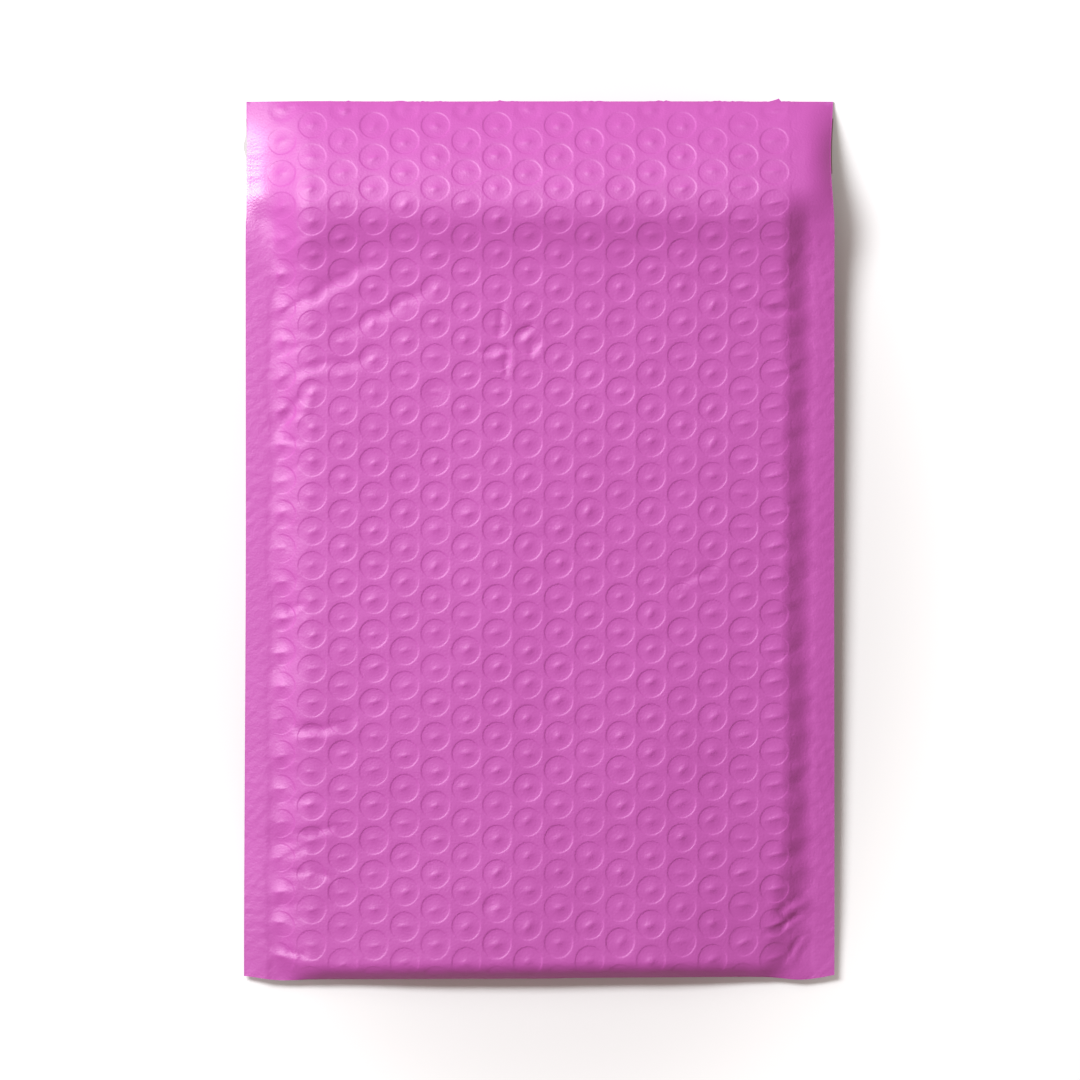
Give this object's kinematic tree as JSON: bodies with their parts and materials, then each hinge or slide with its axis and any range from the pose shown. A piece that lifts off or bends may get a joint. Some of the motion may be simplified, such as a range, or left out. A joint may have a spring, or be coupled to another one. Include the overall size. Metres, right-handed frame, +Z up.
{
  "type": "padded poly mailer",
  "caption": "Flat padded mailer of plastic film lined with air bubbles, with welded side seals, a folded bottom and an open flap with a peel-and-seal strip beneath it.",
  "frame": {"origin": "on the table, under the middle of the mailer's box: half way across its width and half way from the bottom fold to the end of the flap", "axes": "+X across the mailer to the right as the front is read, +Y from the bottom fold towards the flap, +Z up from the table through the front panel"},
  "size_m": [0.18, 0.2674, 0.0164],
  "materials": {
    "film": "satin orchid-pink polyethylene film, embossed by the bubbles behind it",
    "adhesive": "tacky, pale straw-coloured pressure-sensitive adhesive",
    "liner": "pale grey release film with a low sheen"
  },
  "bodies": {
    "root": {"envelope": "film", "adhesive_strip": "adhesive", "release_liner": "liner"}
  },
  "joints": []
}
